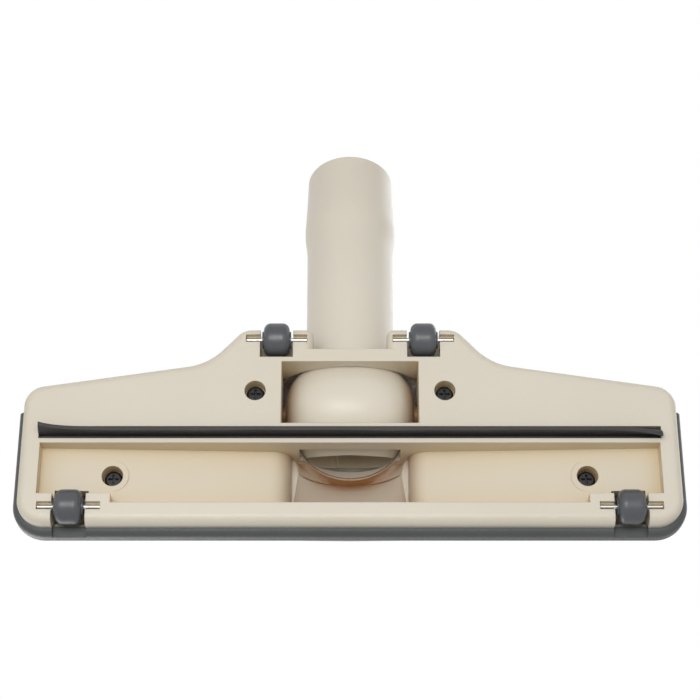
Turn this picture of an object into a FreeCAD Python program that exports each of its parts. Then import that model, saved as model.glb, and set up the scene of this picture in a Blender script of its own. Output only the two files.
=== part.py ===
import FreeCAD, Part
import math
import os
import Sketcher

# Vacuum floor nozzle, standing on its four wheels with the front edge toward -Y.
# Every body is drawn with y = 0 at the swivel axis of the neck and z = 0 on the floor,
# and its placement then moves it back so that the origin is under the middle of the whole length.

SIZES = {
    # Housing outline, seen from below
    "half_span": 138.1,
    "front_reach": 58,
    "corner_back": 3.1,
    "shoulder_side": 60.9,
    "shoulder_back": 14.7,
    "tab_side": 45.7,
    "tab_back": 30.7,
    "notch_side": 15.8,
    "notch_back": 20.5,
    "front_corner": 11.5,
    "rear_corner": 9,
    "shoulder_curve": 25,
    "tab_curve": 8,
    "tab_tip_curve": 2.5,
    "lip_round": 4,
    # Heights above the floor and above the sole
    "ground_gap": 5,
    "split_rise": 13,
    "axis_rise": 25.5,
    "axis_place": -39.28,
    "wing_rise_middle": 28,
    "wing_rise_end": 22.5,
    "wing_round": 5,
    "wall": 2.4,
    # Suction channel and the duct above its middle
    "channel_end": 8.4,
    "front_lip": 9,
    "channel_back": 22.6,
    "channel_rise_end": 6.5,
    "channel_rise_middle": 10.9,
    "duct_side": 24.8,
    "duct_round": 9,
    "collar_side": 36,
    "collar_rise": 21,
    "port_side": 21.5,
    "port_rise": 8.1,
    "duct_tilt": 31,
    "duct_radius": 25.7,
    "ring_radius": 22,
    "ring_ahead": 15.8,
    "ring_below": 12,
    # Rubber blade and its slot
    "blade_ahead": 17.9,
    "blade_end": 7.6,
    "slot_width": 5.4,
    "slot_depth": 4.5,
    "blade_thick": 2,
    "blade_proud": 4,
    "blade_foot": 2.6,
    # Swivel drum, neck tube and the well that shows the drum
    "well_side": 29.2,
    "well_front": 13.7,
    "well_back": 14.7,
    "well_rise": 19,
    "drum_radius": 24,
    "drum_side_gap": 1.2,
    "crown_radius": 50,
    "drum_edge": 1.5,
    "drum_gap": 0.5,
    "trunnion_radius": 4,
    "trunnion_end_gap": 0.4,
    "trunnion_gap": 0.05,
    "bearing_wall": 2.5,
    "neck_tilt": 14,
    "neck_high": 76,
    "tube_radius": 19.55,
    "tube_radius_far": 19.85,
    "bulge_radius": 21,
    "mouth_radius": 20.1,
    "bulge_place": 104,
    "bulge_half": 8,
    "neck_length": 139.1,
    "socket_radius": 17.7,
    "socket_depth": 35,
    "bore_radius": 16.5,
    "neck_blend": 2.2,
    "neck_gap": 1.05,
    "mouth_half_width": 20.6,
    "mouth_half_height": 11.4,
    "mouth_lift": 9.9,
    "mouth_plane": 30,
    "elbow_back": 10,
    # Hump of the upper housing over the drum and duct
    "hump_side": 34,
    "hump_radius": 27,
    "hump_round": 10,
    # Wheels and their pins
    "wheel_radius": 7.3,
    "wheel_tread": 11,
    "wheel_round": 3,
    "hub_radius": 3.65,
    "hub_width": 12.3,
    "wheel_gap": 0.05,
    "pin_radius": 1,
    "pin_length": 25.8,
    "pin_gap": 0.02,
    "pin_end_gap": 0.25,
    "pin_slot_width": 3.4,
    "rear_wheel_inset": 14.2,
    "rear_wheel_set": 5.1,
    "front_wheel_inset": 22,
    "front_wheel_set": 7.7,
    "wheel_room": 1.5,
    "wheel_side_room": 0.9,
    "axle_block_end": 3.9,
    "axle_block_depth": 4,
    # Bumper
    "bumper_low": 6,
    "bumper_tall": 10,
    "bumper_seat": 1.5,
    "bumper_side_proud": 2.4,
    "bumper_front_proud": 3.25,
    "bumper_back": 6.4,
    "bumper_round": 3.4,
    "bumper_notch": 3,
    # Screws
    "front_screw_inset": 38.5,
    "front_screw_set": 1.2,
    "rear_screw_inset": 8.5,
    "rear_screw_back": 1.1,
    "head_radius": 3.85,
    "head_tall": 2.4,
    "recess_radius": 4.5,
    "recess_depth": 4,
    "shank_radius": 1.9,
    "shank_length": 8.5,
    "screw_gap": 0.25,
    "thread_gap": 0.03,
    "boss_radius": 5.5,
    "cross_width": 0.9,
    "cross_length": 4.4,
    "cross_depth": 1.5,
}

document = FreeCAD.newDocument("floor_nozzle")
sheet = document.addObject("Spreadsheet::Sheet", "sizes")
for row, (alias, size) in enumerate(SIZES.items(), start=1):
    sheet.set(f"A{row}", alias)
    sheet.set(f"B{row}", str(size))
    sheet.setAlias(f"B{row}", alias)
document.recompute()

# Heights and places that follow from the sheet
SOLE = "sizes.ground_gap"
SPLIT = "(sizes.ground_gap + sizes.split_rise)"
AXIS = "(sizes.ground_gap + sizes.axis_rise)"
ROOF = "(sizes.ground_gap + sizes.wing_rise_middle)"
COLLAR_TOP = "(sizes.ground_gap + sizes.collar_rise)"
RIM = "(sizes.ground_gap + sizes.bumper_low)"
SEAT_SIDE = "(sizes.half_span - sizes.bumper_seat)"
SEAT_FRONT = "(sizes.front_reach - sizes.bumper_seat)"
WELL_WALL = "(sizes.well_side + sizes.bearing_wall)"
DRUM_SIDE = "(sizes.well_side - sizes.drum_side_gap)"
DRUM_ROOM = "(sizes.drum_radius + sizes.drum_gap)"
CROWN_ROOM = "(sizes.crown_radius + sizes.drum_gap)"
NECK_ROOM = "(sizes.tube_radius + sizes.neck_gap)"
CHANNEL_SIDE = "(sizes.half_span - sizes.channel_end)"
CHANNEL_FRONT = "(sizes.front_reach - sizes.front_lip)"
BLADE_SIDE = "(sizes.half_span - sizes.blade_end)"
PIN_ROOM = "(sizes.pin_length + 2 * sizes.pin_end_gap)"
POCKET_WIDTH = "(sizes.hub_width + 2 * sizes.wheel_side_room)"
FRONT_WHEEL_SIDE = "(sizes.half_span - sizes.front_wheel_inset)"
FRONT_WHEEL_AHEAD = "(sizes.front_reach - sizes.front_wheel_set)"
REAR_WHEEL_SIDE = "(sizes.tab_side - sizes.rear_wheel_inset)"
REAR_WHEEL_BACK = "(sizes.tab_back - sizes.rear_wheel_set)"
BLOCK_SIDE = f"({FRONT_WHEEL_SIDE} - {PIN_ROOM} / 2 - sizes.axle_block_end)"
FRONT_SCREW_SIDE = "(sizes.half_span - sizes.front_screw_inset)"
FRONT_SCREW_AHEAD = f"(({CHANNEL_FRONT} + sizes.channel_back) / 2 - sizes.front_screw_set)"
REAR_SCREW_SIDE = f"({WELL_WALL} + sizes.rear_screw_inset)"
FAR = "(2 * sizes.neck_length)"
NEAR_ZERO = 1e-6
PLACE_TOLERANCE = 0.01


def number(expression):
    return float(sheet.evalExpression(expression))


def vector(x="0", y="0", z="0"):
    return FreeCAD.Vector(number(x), number(y), number(z))


def new_body(name):
    made = document.addObject("PartDesign::Body", name)
    made.Label = name
    return made


def origin_feature(owner, role):
    return next(feature for feature in owner.Origin.OriginFeatures if feature.Role == role)


def new_sketch(owner, name, role, lift="0"):
    """A sketch on one of the body's own origin planes, moved along the plane's normal by lift."""
    drawing = owner.newObject("Sketcher::SketchObject", name)
    drawing.AttachmentSupport = [(origin_feature(owner, role), "")]
    drawing.MapMode = "FlatFace"
    drawing.setExpression("AttachmentOffset.Base.z", lift)
    return drawing


def tie(drawing, kind, places, expression):
    """Adds one dimension to a sketch and binds it to the sheet."""
    index = drawing.addConstraint(Sketcher.Constraint(kind, *places, number(expression)))
    drawing.setExpression(f"Constraints[{index}]", expression)


def tie_point(drawing, edge, end, x, y):
    tie(drawing, "DistanceX", (-1, 1, edge, end), x)
    tie(drawing, "DistanceY", (-1, 1, edge, end), y)


def draw_polygon(drawing, corners, arcs=None):
    """Draws a closed outline. arcs maps the number of a curved side to its radius and a point on it."""
    arcs = arcs or {}
    points = [vector(x, y) for x, y in corners]
    first = drawing.GeometryCount
    count = len(points)
    for turn in range(count):
        start, end = points[turn], points[(turn + 1) % count]
        if turn in arcs:
            middle = vector(*arcs[turn][1])
            if (middle - start).cross(end - middle).z < 0:
                start, end = end, start
            drawing.addGeometry(Part.Arc(start, middle, end), False)
        else:
            drawing.addGeometry(Part.LineSegment(start, end), False)
    ends = []
    for turn in range(count):
        shape = drawing.Geometry[first + turn]
        forward = (shape.StartPoint - points[turn]).Length < PLACE_TOLERANCE
        ends.append((1, 2) if forward else (2, 1))
    for turn, (x, y) in enumerate(corners):
        following = (turn + 1) % count
        joint = (first + turn, ends[turn][1], first + following, ends[following][0])
        drawing.addConstraint(Sketcher.Constraint("Coincident", *joint))
        tie_point(drawing, first + turn, ends[turn][0], x, y)
        if turn in arcs:
            tie(drawing, "Radius", (first + turn,), arcs[turn][0])


def draw_polygon_pair(drawing, corners):
    """Draws an outline on the right and its mirror image on the left."""
    draw_polygon(drawing, corners)
    draw_polygon(drawing, [(f"-({x})", y) for x, y in reversed(corners)])


def rectangle(left, right, low, high):
    return [(left, low), (right, low), (right, high), (left, high)]


def draw_circle(drawing, x, y, radius):
    edge = drawing.addGeometry(Part.Circle(vector(x, y), vector(z="1"), number(radius)), False)
    tie_point(drawing, edge, 3, x, y)
    tie(drawing, "Radius", (edge,), radius)


def draw_circle_pair(drawing, x, y, radius):
    draw_circle(drawing, x, y, radius)
    draw_circle(drawing, f"-({x})", y, radius)


def both_sides(corners):
    """The right half of an outline, from front to back, and its mirror image from back to front."""
    return corners + [(f"-{x}", y) for x, y in reversed(corners)]


def failed(item):
    return bool({"Invalid", "Error"} & set(item.State))


def finish_feature(owner, feature, before, grows):
    document.recompute()
    change = owner.Shape.Volume - before
    if failed(feature) or (change <= NEAR_ZERO if grows else change >= -NEAR_ZERO):
        raise RuntimeError(f"{feature.Name} in {owner.Label} changed the volume by {change}")
    return feature


def set_length(feature, length, symmetric, reverse):
    feature.SideType = "Symmetric" if symmetric else "One side"
    feature.Reversed = reverse
    feature.setExpression("Length", length)


def volume_of(owner):
    return owner.Shape.Volume if owner.Tip else 0.0


def pad(owner, drawing, length, symmetric=False, reverse=False):
    before = volume_of(owner)
    feature = owner.newObject("PartDesign::Pad", drawing.Name + "_pad")
    feature.Profile = drawing
    set_length(feature, length, symmetric, reverse)
    return finish_feature(owner, feature, before, grows=True)


def pocket(owner, drawing, length, symmetric=False, reverse=False):
    before = volume_of(owner)
    feature = owner.newObject("PartDesign::Pocket", drawing.Name + "_pocket")
    feature.Profile = drawing
    set_length(feature, length, symmetric, reverse)
    return finish_feature(owner, feature, before, grows=False)


def turn_profile(owner, drawing, axis, kind, angle=360, reverse=False):
    """Revolves a profile round one of its sketch's own axes, adding or cutting."""
    before = volume_of(owner)
    feature = owner.newObject("PartDesign::" + kind, drawing.Name + "_turned")
    feature.Profile = drawing
    feature.ReferenceAxis = (drawing, [axis])
    feature.Angle = angle
    feature.Reversed = reverse
    return finish_feature(owner, feature, before, grows=kind == "Revolution")


def edges_where(owner, test):
    """Names of the tip's edges that pass a test on their middle point and their box."""
    names = []
    for place, edge in enumerate(owner.Tip.Shape.Edges, start=1):
        middle = edge.valueAt((edge.FirstParameter + edge.LastParameter) / 2)
        if test(middle, edge.BoundBox):
            names.append(f"Edge{place}")
    return names


def round_edges(owner, test, radius):
    names = edges_where(owner, test)
    if not names:
        raise RuntimeError(f"{owner.Label} has no edge to round by {radius}")
    before = owner.Shape.Volume
    base = owner.Tip
    feature = owner.newObject("PartDesign::Fillet", "round")
    feature.Base = (base, names)
    feature.setExpression("Radius", radius)
    document.recompute()
    if failed(feature) or abs(owner.Shape.Volume - before) < NEAR_ZERO:
        raise RuntimeError(f"{owner.Label} could not be rounded by {radius}")
    return feature


def upright_at(x, y):
    """A test for the upright edges at (x, y) and at its mirror image."""
    at_x, at_y = number(x), number(y)

    def test(middle, box):
        upright = box.XLength < PLACE_TOLERANCE and box.YLength < PLACE_TOLERANCE
        close = abs(abs(middle.x) - at_x) < PLACE_TOLERANCE and abs(middle.y - at_y) < PLACE_TOLERANCE
        return upright and close

    return test


def place_body(made, y="sizes.axis_place", x="0", z="0"):
    made.setExpression("Placement.Base.x", x)
    made.setExpression("Placement.Base.y", y)
    made.setExpression("Placement.Base.z", z)


# Outline shared by both housings


def outline(side, front):
    """Right half of the housing outline. Behind the bumper's ends it is the same at every height."""
    corners = [(side, f"-{front}")]
    if side != "sizes.half_span":
        corners += [(side, "-sizes.bumper_back"), ("sizes.half_span", "-sizes.bumper_back")]
    corners += [
        ("sizes.half_span", "sizes.corner_back"),
        ("sizes.shoulder_side", "sizes.shoulder_back"),
        ("sizes.tab_side", "sizes.tab_back"),
        ("sizes.notch_side", "sizes.tab_back"),
        ("sizes.notch_side", "sizes.notch_back"),
    ]
    return corners


def round_rear(owner):
    """Plan curves of the rear edge: corner, shoulder, tab and the tips beside the neck."""
    round_edges(owner, upright_at("sizes.half_span", "sizes.corner_back"), "sizes.rear_corner")
    round_edges(owner, upright_at("sizes.shoulder_side", "sizes.shoulder_back"), "sizes.shoulder_curve")
    round_edges(owner, upright_at("sizes.tab_side", "sizes.tab_back"), "sizes.tab_curve")


def round_front(owner):
    seat_corner = "sizes.front_corner - sizes.bumper_seat"
    round_edges(owner, upright_at(SEAT_SIDE, f"-{SEAT_FRONT}"), seat_corner)
    round_edges(owner, upright_at("sizes.half_span", "-sizes.front_reach"), "sizes.front_corner")


def outline_pad(owner, name, side, front, low, tall):
    drawing = new_sketch(owner, name, "XY_Plane", low)
    draw_polygon(drawing, both_sides(outline(side, front)))
    return pad(owner, drawing, tall)


# Lower housing: sole, suction channel, blade slot, drum well and the wheel pockets


def make_lower_housing():
    lower = new_body("lower_housing")
    outline_pad(lower, "sole", "sizes.half_span", "sizes.front_reach", SOLE, "sizes.bumper_low")
    outline_pad(lower, "rim", SEAT_SIDE, SEAT_FRONT, RIM, "sizes.split_rise - sizes.bumper_low")
    round_rear(lower)
    round_front(lower)
    round_edges(lower, upright_at("sizes.notch_side", "sizes.tab_back"), "sizes.tab_tip_curve")
    sole, lip = number(SOLE), number("-sizes.front_reach + sizes.front_corner")

    def front_edge(middle, box):
        return box.ZLength < PLACE_TOLERANCE and abs(middle.z - sole) < PLACE_TOLERANCE and middle.y < lip

    round_edges(lower, front_edge, "sizes.lip_round")
    hollow_wings(lower, SPLIT, "sizes.split_rise - sizes.wall")
    cut_channel(lower)
    add_axle_blocks(lower)
    cut_blade_slot(lower)
    cut_wheel_pockets(lower)
    add_lower_bosses(lower)
    add_drum_well(lower)
    place_body(lower)
    return lower


def hollow_wings(
    owner,
    open_height,
    depth,
    front="(sizes.blade_ahead - sizes.slot_width - sizes.wall)",
    upward=False,
):
    """Cuts the hollows of both wings from their open side."""
    side = f"({SEAT_SIDE} - sizes.wall)"
    inner = f"({WELL_WALL} + sizes.wall)"
    back = "(sizes.corner_back - 2 * sizes.wall)"
    shoulder = "(sizes.shoulder_back - 2 * sizes.wall)"
    drawing = new_sketch(owner, "wing_hollow", "XY_Plane", open_height)
    corners = [(inner, f"-{front}"), (side, f"-{front}"), (side, back)]
    corners += [("sizes.shoulder_side", shoulder), (inner, shoulder)]
    draw_polygon_pair(drawing, corners)
    pocket(owner, drawing, depth, reverse=upward)


def cut_channel(lower):
    """The shallow trough across the front, rising toward the duct over its middle."""
    drawing = new_sketch(lower, "channel", "XZ_Plane", "sizes.channel_back")
    below = "(sizes.ground_gap - 1)"
    duct = [
        (CHANNEL_SIDE, below),
        (CHANNEL_SIDE, "sizes.ground_gap + sizes.channel_rise_end"),
        ("sizes.duct_side", "sizes.ground_gap + sizes.channel_rise_middle"),
        ("sizes.duct_side", f"{COLLAR_TOP} + 1"),
    ]
    collar = new_sketch(lower, "collar", "XY_Plane", SPLIT)
    collar_front = f"-({CHANNEL_FRONT} + sizes.wall)"
    collar_back = "-(sizes.channel_back - sizes.wall)"
    draw_polygon(collar, rectangle("-sizes.collar_side", "sizes.collar_side", collar_front, collar_back))
    pad(lower, collar, "sizes.collar_rise - sizes.split_rise")
    draw_polygon(drawing, both_sides(duct))
    pocket(lower, drawing, f"{CHANNEL_FRONT} - sizes.channel_back", reverse=True)
    duct_side = number("sizes.duct_side")
    edge_height = number("sizes.ground_gap + sizes.channel_rise_middle")

    def duct_edge(middle, box):
        level = abs(middle.z - edge_height) < PLACE_TOLERANCE and box.ZLength < PLACE_TOLERANCE
        return level and box.XLength < PLACE_TOLERANCE and abs(abs(middle.x) - duct_side) < PLACE_TOLERANCE

    round_edges(lower, duct_edge, "sizes.duct_round")


def add_axle_blocks(lower):
    """Blocks at sole height in the channel's front corners, which hold the front pins."""
    drawing = new_sketch(lower, "axle_block", "XY_Plane", SOLE)
    front = f"-({CHANNEL_FRONT} + 1)"
    back = f"-({CHANNEL_FRONT} - sizes.axle_block_depth)"
    side = f"({CHANNEL_SIDE} + 1)"
    draw_polygon_pair(drawing, rectangle(BLOCK_SIDE, side, front, back))
    pad(lower, drawing, "sizes.channel_rise_middle")


def cut_blade_slot(lower):
    drawing = new_sketch(lower, "blade_slot", "XY_Plane", SOLE)
    front = "-(sizes.blade_ahead + sizes.slot_width / 2)"
    back = "-(sizes.blade_ahead - sizes.slot_width / 2)"
    draw_polygon(drawing, rectangle(f"-{BLADE_SIDE}", BLADE_SIDE, front, back))
    pocket(lower, drawing, "sizes.slot_depth", reverse=True)


def turn_round_line(owner, drawing, start, end, kind):
    """Revolves a profile round a construction line of its own sketch."""
    edge = drawing.addGeometry(Part.LineSegment(vector(*start), vector(*end)), True)
    tie_point(drawing, edge, 1, *start)
    tie_point(drawing, edge, 2, *end)
    return turn_profile(owner, drawing, "Axis0", kind)


def drum_profile(drawing, radius, crown, side):
    """Half of a crowned barrel on the X axis of the sketch."""
    edge = f"({radius} - {crown} + sqrt({crown} * {crown} - {side} * {side}))"
    corners = [(f"-{side}", "0"), (side, "0"), (side, edge), (f"-{side}", edge)]
    draw_polygon(drawing, corners, {2: (crown, ("0", radius))})


def cut_drum_room(owner):
    """Room for the crowned drum, with its running gap."""
    drawing = new_sketch(owner, "drum_room", "XY_Plane", AXIS)
    drum_profile(drawing, DRUM_ROOM, CROWN_ROOM, "sizes.well_side")
    turn_profile(owner, drawing, "H_Axis", "Groove")


def cut_trunnion_seats(owner):
    drawing = new_sketch(owner, "trunnion_seat", "YZ_Plane")
    draw_circle(drawing, "0", AXIS, "sizes.trunnion_radius + sizes.trunnion_gap")
    pocket(owner, drawing, f"2 * {WELL_WALL}", symmetric=True)


WELL = rectangle("-sizes.well_side", "sizes.well_side", "-sizes.well_front", "sizes.well_back")


def add_drum_well(lower):
    walls = new_sketch(lower, "bearing_wall", "XY_Plane", SOLE)
    draw_polygon_pair(walls, rectangle("sizes.well_side", WELL_WALL, "-sizes.well_front", "sizes.well_back"))
    pad(lower, walls, "sizes.axis_rise")
    window = new_sketch(lower, "window", "XY_Plane", SOLE)
    draw_polygon(window, WELL)
    pocket(lower, window, "sizes.axis_rise", reverse=True)
    port = new_sketch(lower, "port", "XZ_Plane", "sizes.channel_back")
    port_low = "(sizes.ground_gap + sizes.port_rise)"
    draw_polygon(port, rectangle("-sizes.port_side", "sizes.port_side", port_low, f"{COLLAR_TOP} + 1"))
    pocket(lower, port, "sizes.channel_back - sizes.well_front")
    cut_drum_room(lower)
    cut_trunnion_seats(lower)
    neck = new_sketch(lower, "neck_room", "XZ_Plane")
    draw_circle(neck, "0", AXIS, NECK_ROOM)
    pocket(lower, neck, "2 * sizes.tab_back")


def cut_wheel_pockets(lower):
    pockets = new_sketch(lower, "wheel_pocket", "XY_Plane", SOLE)
    slots = new_sketch(lower, "pin_slot", "XY_Plane", SOLE)
    room = "(sizes.wheel_radius + sizes.wheel_room)"
    for end, side, place in WHEEL_AXES:
        left, right = f"{side} - {POCKET_WIDTH} / 2", f"{side} + {POCKET_WIDTH} / 2"
        open_end = "sizes.tab_back + 1" if end == "rear" else "-(sizes.front_reach + 1)"
        closed_end = f"{place} - {room}" if end == "rear" else f"{place} + {room}"
        draw_polygon_pair(pockets, rectangle(left, right, closed_end, open_end))
        low, high = f"{place} - sizes.pin_slot_width / 2", f"{place} + sizes.pin_slot_width / 2"
        draw_polygon_pair(slots, rectangle(*pin_ends(side), low, high))
    pocket(lower, pockets, "sizes.split_rise", reverse=True)
    pocket(lower, slots, "sizes.wheel_radius - sizes.ground_gap", reverse=True)
    for end, side, place in WHEEL_AXES:
        seat = new_sketch(lower, f"{end}_pin_seat", "XY_Plane", "sizes.wheel_radius")
        high = f"{place} + sizes.pin_radius + sizes.pin_gap"
        draw_polygon_pair(seat, rectangle(*pin_ends(side), place, high))
        turn_round_line(lower, seat, ("0", place), ("1", place), "Groove")


def pin_ends(side):
    return f"{side} - {PIN_ROOM} / 2", f"{side} + {PIN_ROOM} / 2"


WHEEL_AXES = [
    ("rear", REAR_WHEEL_SIDE, REAR_WHEEL_BACK),
    ("front", FRONT_WHEEL_SIDE, f"-{FRONT_WHEEL_AHEAD}"),
]

# Each pair of screws: its name, side, place along Y and the height of the face it is sunk in
CHANNEL_SLOPE = (
    f"(sizes.channel_rise_middle - sizes.channel_rise_end) / ({CHANNEL_SIDE} - sizes.duct_side)"
)
FRONT_FACE = (
    "(sizes.ground_gap + sizes.channel_rise_end"
    f" + ({CHANNEL_SIDE} - {FRONT_SCREW_SIDE}) * {CHANNEL_SLOPE})"
)
SCREWS = [
    ("front", FRONT_SCREW_SIDE, f"-{FRONT_SCREW_AHEAD}", FRONT_FACE),
    ("rear", REAR_SCREW_SIDE, "sizes.rear_screw_back", "sizes.ground_gap"),
]


def seat_height(face):
    """Height at which a screw's head bears on the lower housing."""
    return f"({face} + sizes.recess_depth + sizes.head_tall)"


def boss_top(face):
    return f"({seat_height(face)} + sizes.wall)"


def add_lower_bosses(lower):
    """Bosses with the round recesses that the screws are sunk in."""
    for name, side, place, face in SCREWS:
        boss = new_sketch(lower, f"{name}_boss", "XY_Plane", face)
        draw_circle_pair(boss, side, place, "sizes.recess_radius + sizes.wall")
        pad(lower, boss, "sizes.recess_depth + sizes.head_tall + sizes.wall")
        recess = new_sketch(lower, f"{name}_recess", "XY_Plane", f"{face} - 1")
        draw_circle_pair(recess, side, place, "sizes.recess_radius")
        pocket(lower, recess, "1 + sizes.recess_depth + sizes.head_tall", reverse=True)
        hole = new_sketch(lower, f"{name}_hole", "XY_Plane", seat_height(face))
        draw_circle_pair(hole, side, place, "sizes.shank_radius + sizes.screw_gap")
        pocket(lower, hole, "sizes.wall", reverse=True)


# Upper housing: the wings, the hump over the drum and the duct, and the slot for the neck


def make_upper_housing():
    upper = new_body("upper_shell")
    wing_tall = "sizes.wing_rise_middle - sizes.split_rise"
    seat_tall = "sizes.bumper_low + sizes.bumper_tall - sizes.split_rise"
    outline_pad(upper, "seat", SEAT_SIDE, SEAT_FRONT, SPLIT, seat_tall)
    high = f"({RIM} + sizes.bumper_tall)"
    outline_pad(upper, "wings", "sizes.half_span", "sizes.front_reach", high, f"{wing_tall} - ({seat_tall})")
    round_rear(upper)
    round_front(upper)
    cut_wing_tops(upper)
    add_hump(upper)
    low_ceiling = "sizes.wing_rise_end - sizes.split_rise - sizes.wall"
    hollow_wings(upper, SPLIT, low_ceiling, SEAT_FRONT_INNER, upward=True)
    add_upper_bosses(upper)
    cut_well_room(upper)
    cut_drum_room(upper)
    cut_trunnion_seats(upper)
    cut_neck_slot(upper)
    cut_ring_hole(upper)
    return upper


SEAT_FRONT_INNER = f"({SEAT_FRONT} - sizes.wall)"


def cut_wing_tops(upper):
    """The wings fall gently from the middle to their ends."""
    drawing = new_sketch(upper, "wing_top", "XZ_Plane")
    low = "(sizes.ground_gap + sizes.wing_rise_end)"
    side = "(sizes.half_span + 1)"
    above = f"({ROOF} + 1)"
    draw_polygon(drawing, [(f"-{side}", low), ("0", ROOF), (side, low), (side, above), (f"-{side}", above)])
    pocket(upper, drawing, "2 * (sizes.front_reach + sizes.tab_back)", symmetric=True)
    roof_edge = number(SPLIT) + number("sizes.bumper_low + sizes.bumper_tall - sizes.split_rise")

    def top_edge(middle, box):
        return box.ZMin > roof_edge + PLACE_TOLERANCE and abs(middle.x) > number("sizes.notch_side")

    round_edges(upper, top_edge, "sizes.wing_round")


def add_hump(upper):
    """A dome round the swivel axis that runs straight down to the front edge."""
    hump = new_body("hump")
    drawing = new_sketch(hump, "hump_side_view", "YZ_Plane")
    tilt = "sizes.duct_tilt"
    radius = "sizes.hump_radius"
    front = "-(sizes.front_reach - sizes.lip_round)"
    touch = (f"-{radius} * sin({tilt})", f"{AXIS} + {radius} * cos({tilt})")
    front_high = f"{AXIS} + ({radius} + {front} * sin({tilt})) / cos({tilt})"
    corners = [(front, SPLIT), (radius, SPLIT), (radius, AXIS), touch, (front, front_high)]
    half_turn = "(90 + sizes.duct_tilt) / 2"
    middle = (f"{radius} * cos({half_turn})", f"{AXIS} + {radius} * sin({half_turn})")
    draw_polygon(drawing, corners, {2: (radius, middle)})
    pad(hump, drawing, "2 * sizes.hump_side", symmetric=True)
    split = number(SPLIT)

    def shoulder(middle, box):
        upright = box.YLength < PLACE_TOLERANCE
        return box.XLength < PLACE_TOLERANCE and box.ZMax > split + 1 and not upright

    round_edges(hump, shoulder, "sizes.hump_round")
    before = upper.Shape.Volume
    joined = upper.newObject("PartDesign::Boolean", "hump_joined")
    joined.Type = "Fuse"
    joined.setObjects([hump])
    finish_feature(upper, joined, before, grows=True)


def add_upper_bosses(upper):
    """Bosses that take the screws' threads, standing on the bosses of the lower housing."""
    ceiling = "(sizes.ground_gap + sizes.wing_rise_end)"
    for name, side, place, face in SCREWS:
        boss = new_sketch(upper, f"{name}_post", "XY_Plane", boss_top(face))
        draw_circle_pair(boss, side, place, "sizes.boss_radius")
        pad(upper, boss, f"{ceiling} - {boss_top(face)} - 1")
        hole = new_sketch(upper, f"{name}_thread", "XY_Plane", boss_top(face))
        draw_circle_pair(hole, side, place, "sizes.shank_radius + sizes.thread_gap")
        pocket(upper, hole, "sizes.shank_length - sizes.wall + 0.5", reverse=True)


def cut_well_room(upper):
    """Room for the collar, the bearing walls and the well of the lower housing."""
    collar = new_sketch(upper, "collar_room", "XY_Plane", SPLIT)
    front = f"-({CHANNEL_FRONT} + sizes.wall)"
    back = "-(sizes.channel_back - sizes.wall)"
    draw_polygon(collar, rectangle("-sizes.collar_side", "sizes.collar_side", front, back))
    pocket(upper, collar, "sizes.collar_rise - sizes.split_rise", reverse=True)
    wall = new_sketch(upper, "bearing_room", "XY_Plane", SPLIT)
    draw_polygon_pair(wall, rectangle("sizes.well_side", WELL_WALL, "-sizes.well_front", "sizes.well_back"))
    pocket(upper, wall, "sizes.axis_rise - sizes.split_rise", reverse=True)
    well = new_sketch(upper, "well", "XY_Plane", SPLIT)
    draw_polygon(well, WELL)
    pocket(upper, well, "sizes.well_rise - sizes.split_rise", reverse=True)


def cut_neck_slot(upper):
    """The neck swings through a slot from its lowest to its highest tilt."""
    drawing = new_sketch(upper, "neck_slot", "YZ_Plane")
    top = (f"{FAR} * cos(sizes.neck_high)", f"{AXIS} + {FAR} * sin(sizes.neck_high)")
    corners = [("0", SPLIT), (FAR, SPLIT), (FAR, top[1]), top, ("0", AXIS)]
    draw_polygon(drawing, corners)
    pocket(upper, drawing, f"2 * {NECK_ROOM}", symmetric=True)
    end = new_sketch(upper, "slot_end", "YZ_Plane")
    reach = "(2 * sizes.hump_radius)"
    slim = (f"-{NECK_ROOM} * sin(sizes.neck_high)", f"{AXIS} + {NECK_ROOM} * cos(sizes.neck_high)")
    far = (f"{reach} * cos(sizes.neck_high)", f"{AXIS} + {reach} * sin(sizes.neck_high)")
    outer = (f"{far[0]} + {slim[0]}", f"{far[1]} + {NECK_ROOM} * cos(sizes.neck_high)")
    draw_polygon(end, [("0", AXIS), far, outer, slim])
    turn_round_line(upper, end, ("0", AXIS), far, "Groove")


def cut_ring_hole(upper):
    """The round hole of the duct's end wall, in front of the drum."""
    drawing = new_sketch(upper, "ring_hole", "YZ_Plane")
    along = ("cos(sizes.duct_tilt)", "sin(sizes.duct_tilt)")
    centre = ("-sizes.ring_ahead", f"({AXIS} - sizes.ring_below)")
    inner = (f"({centre[0]} + sizes.duct_side * {along[0]})", f"({centre[1]} + sizes.duct_side * {along[1]})")
    outer = (f"({centre[0]} - 1 * {along[0]})", f"({centre[1]} - 1 * {along[1]})")
    up = (f"- sizes.ring_radius * {along[1]}", f"+ sizes.ring_radius * {along[0]}")
    corners = [inner, outer, (outer[0] + up[0], outer[1] + up[1]), (inner[0] + up[0], inner[1] + up[1])]
    draw_polygon(drawing, corners)
    turn_round_line(upper, drawing, inner, outer, "Groove")


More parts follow.
